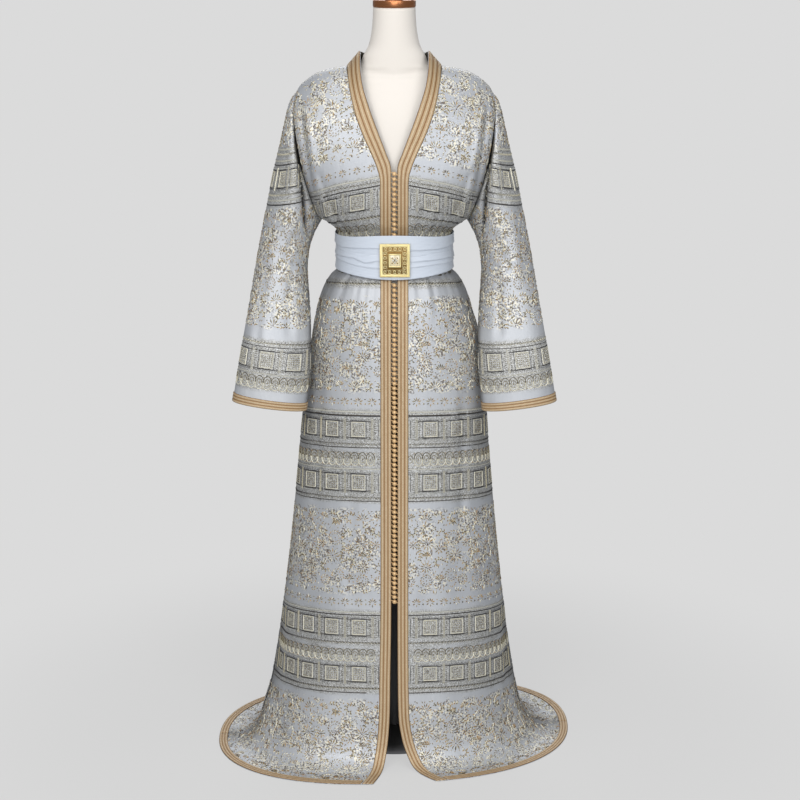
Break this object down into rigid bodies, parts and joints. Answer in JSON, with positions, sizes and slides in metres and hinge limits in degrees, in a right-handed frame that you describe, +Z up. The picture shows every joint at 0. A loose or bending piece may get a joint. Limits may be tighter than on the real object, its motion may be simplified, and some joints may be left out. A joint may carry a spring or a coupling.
{
  "type": "moroccan kaftan on a dress form",
  "caption": "Long open-front brocade kaftan with straight sleeves, braided edges and a pleated buckled belt, worn by a limbless dress form on a round foot.",
  "frame": {"origin": "on the floor under the axis of the dress form, at the bottom centre of the whole part", "axes": "+Z up, -Y the front of the kaftan, -X the wearer's right"},
  "size_m": [0.764, 0.5892, 1.62],
  "materials": {
    "brocade": "silver-blue satin brocade with gold, olive and cream figures",
    "braid": "flat gold-tan metallic braid",
    "button_cord": "knotted metallic gold cord",
    "belt_cloth": "pale blue crepe satin laid in pleats",
    "buckle_gold": "bright granulated gold plate",
    "buckle_stone": "pale enamel set with clear crystals",
    "form_linen": "cream linen jersey",
    "copper": "polished copper",
    "turned_wood": "varnished turned wood",
    "stand_metal": "satin grey powder coat"
  },
  "bodies": {
    "root": {"front_right": "brocade", "front_left": "brocade", "back": "brocade", "sleeve_right": "brocade", "sleeve_left": "brocade", "collar_back": "brocade", "trim_front_right": "braid", "trim_front_left": "braid", "trim_neck": "braid", "trim_hem_right": "braid", "trim_hem_left": "braid", "trim_hem_back": "braid", "trim_cuff_right": "braid", "trim_cuff_left": "braid", "buttons_bodice": "button_cord", "buttons_waist": "button_cord", "buttons_skirt": "button_cord", "belt_sash": "belt_cloth", "buckle_plate": "buckle_gold", "buckle_frame": "buckle_gold", "buckle_bezel": "buckle_gold", "buckle_stone": "buckle_stone", "form_torso": "form_linen", "neck_cap": "copper", "cap_knob": "turned_wood", "stand_pole": "stand_metal", "stand_base": "stand_metal"}
  },
  "joints": []
}
